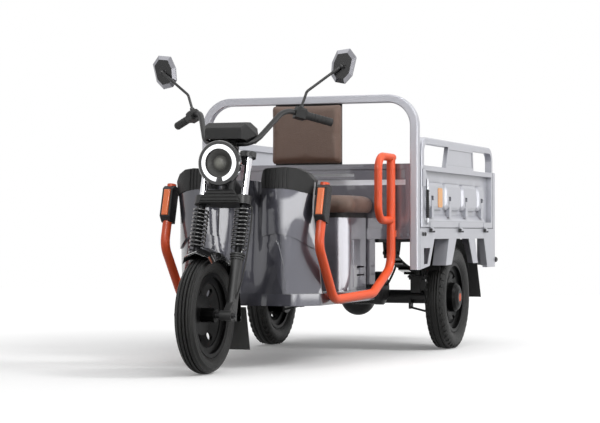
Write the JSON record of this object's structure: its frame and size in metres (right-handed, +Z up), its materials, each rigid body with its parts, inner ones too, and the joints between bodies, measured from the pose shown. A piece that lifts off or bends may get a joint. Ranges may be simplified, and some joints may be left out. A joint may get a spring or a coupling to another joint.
{
  "type": "electric cargo tricycle",
  "caption": "Electric cargo tricycle with sprung front fork, leg shield, orange crash bars, bench seat and an open cargo box with fold-down gates.",
  "frame": {"origin": "on the ground below the middle of the length", "axes": "+Z up, the front looks along -Y, the rider's left is +X"},
  "size_m": [1.054, 2.7499, 1.292],
  "materials": {
    "frame_black": "satin black paint",
    "box_silver": "silver metallic paint",
    "shield_grey": "gloss grey metallic paint",
    "bar_orange": "gloss orange paint",
    "black_plastic": "grained black plastic",
    "gloss_black": "gloss black",
    "signal_orange": "clear orange lens",
    "lamp_white": "lit white light guide",
    "lamp_red": "red lens",
    "lamp_lens": "dark projector lens",
    "screen": "dark display",
    "seat_brown": "brown grained leather",
    "tyre": "black tread rubber",
    "rubber": "black rubber",
    "rim": "black painted steel",
    "chrome": "bright chrome",
    "fork_grey": "dark grey paint",
    "spring_black": "black spring steel",
    "steel": "bare steel",
    "aluminium": "cast aluminium",
    "battery": "battery case",
    "mirror": "mirror glass",
    "mirror_shell": "silver and black shell"
  },
  "bodies": {
    "chassis": {"front_frame": "frame_black", "head_bearings": "steel", "bed_frame": "frame_black", "floor_pan": "shield_grey", "leg_shield": "shield_grey", "shield_caps": "black_plastic", "crash_bars": "bar_orange", "signal_housings": "black_plastic", "signal_lenses": "signal_orange", "seat_box": "box_silver", "battery_pack": "battery", "controller": "aluminium", "backrest_pad": "seat_brown", "backrest_board": "black_plastic", "cargo_hoop": "box_silver", "headboard": "shield_grey", "cargo_floor": "box_silver", "side_skirts": "box_silver", "rear_frame": "box_silver", "gate_hinge_pins": "frame_black", "wheel_arches": "black_plastic", "mudflaps_and_buffers": "rubber", "tail_lamps": "lamp_red", "leaf_springs": "spring_black"},
    "steering": {"fork_yokes": "frame_black", "fork_tubes": "chrome", "crown_cover": "black_plastic", "headlight_housing": "gloss_black", "headlight_ring": "lamp_white", "headlight_lens": "lamp_lens", "instrument_pod": "black_plastic", "instrument_screen": "screen", "handlebar": "frame_black", "grip_left": "rubber", "switch_pods": "black_plastic", "mirror_stems": "frame_black", "fork_springs": "spring_black"},
    "throttle": {"throttle_grip": "rubber"},
    "mirror_left": {"mirror_left": "mirror_shell", "mirror_glass_left": "mirror"},
    "mirror_right": {"mirror_right": "mirror_shell", "mirror_glass_right": "mirror"},
    "fork": {"fork_legs": "fork_grey", "front_axle": "steel", "front_fender": "gloss_black", "front_brake_plate": "aluminium"},
    "front_wheel": {"front_tyre": "tyre", "front_rim": "rim"},
    "rear_axle": {"axle_housing": "frame_black", "drive_motor": "frame_black"},
    "rear_wheel_left": {"rear_tyre_left": "tyre", "rear_rim_left": "rim"},
    "rear_wheel_right": {"rear_tyre_right": "tyre", "rear_rim_right": "rim"},
    "gate_left": {"gate_left": "box_silver"},
    "gate_right": {"gate_right": "box_silver"},
    "tailgate": {"tailgate": "box_silver"},
    "seat": {"seat_pan": "black_plastic", "seat_cushion": "seat_brown"},
    "brake_pedal": {"brake_pedal": "steel"}
  },
  "joints": [
    {"name": "steering_turn", "type": "hinge", "parent": "chassis", "child": "steering", "pos_m": [0, -1.07623, 0.20636], "axis": [0, 0.2924, 0.9563], "range_deg": [-42, 42]},
    {"name": "throttle_twist", "type": "hinge", "parent": "steering", "child": "throttle", "pos_m": [-0.339, -0.65, 0.996], "axis": [-0.7637, 0.6001, -0.238], "range_deg": [0, 60], "stiffness_Nm_per_rad": 0.6, "springref_deg": -5.73},
    {"name": "mirror_left_turn", "type": "hinge", "parent": "steering", "child": "mirror_left", "pos_m": [0.398, -0.687, 1.22], "axis": [0, 0, 1], "range_deg": [-15, 15]},
    {"name": "mirror_right_turn", "type": "hinge", "parent": "steering", "child": "mirror_right", "pos_m": [-0.398, -0.687, 1.22], "axis": [0, 0, 1], "range_deg": [-15, 15]},
    {"name": "fork_travel", "type": "slide", "parent": "steering", "child": "fork", "axis": [0, 0.2924, 0.9563], "range_m": [-0.015, 0.055], "stiffness_N_per_m": 16000, "springref_m": -0.026, "deforming": ["fork_springs"]},
    {"name": "front_wheel_spin", "type": "hinge", "parent": "fork", "child": "front_wheel", "pos_m": [0, -1.147, 0.228], "axis": [1, 0, 0], "continuous": true},
    {"name": "rear_axle_travel", "type": "slide", "parent": "chassis", "child": "rear_axle", "axis": [0, 0, 1], "range_m": [-0.025, 0.035], "stiffness_N_per_m": 60000, "springref_m": -0.0147, "deforming": ["leaf_springs"]},
    {"name": "rear_wheel_left_spin", "type": "hinge", "parent": "rear_axle", "child": "rear_wheel_left", "pos_m": [0.445, 0.703, 0.243], "axis": [1, 0, 0], "continuous": true},
    {"name": "rear_wheel_right_spin", "type": "hinge", "parent": "rear_axle", "child": "rear_wheel_right", "pos_m": [-0.445, 0.703, 0.243], "axis": [1, 0, 0], "continuous": true},
    {"name": "gate_left_fold", "type": "hinge", "parent": "chassis", "child": "gate_left", "pos_m": [0.52, 0.681, 0.5605], "axis": [0, 1, 0], "range_deg": [0, 170]},
    {"name": "gate_right_fold", "type": "hinge", "parent": "chassis", "child": "gate_right", "pos_m": [-0.52, 0.681, 0.5605], "axis": [0, -1, 0], "range_deg": [0, 170]},
    {"name": "tailgate_fold", "type": "hinge", "parent": "chassis", "child": "tailgate", "pos_m": [0, 1.349, 0.5605], "axis": [-1, 0, 0], "range_deg": [0, 165]},
    {"name": "seat_lift", "type": "hinge", "parent": "chassis", "child": "seat", "pos_m": [0, -0.274, 0.616], "axis": [1, 0, 0], "range_deg": [0, 75]},
    {"name": "brake_pedal_press", "type": "hinge", "parent": "chassis", "child": "brake_pedal", "pos_m": [-0.17, -0.54, 0.316], "axis": [1, 0, 0], "range_deg": [0, 16], "stiffness_Nm_per_rad": 20, "springref_deg": -5.73}
  ]
}
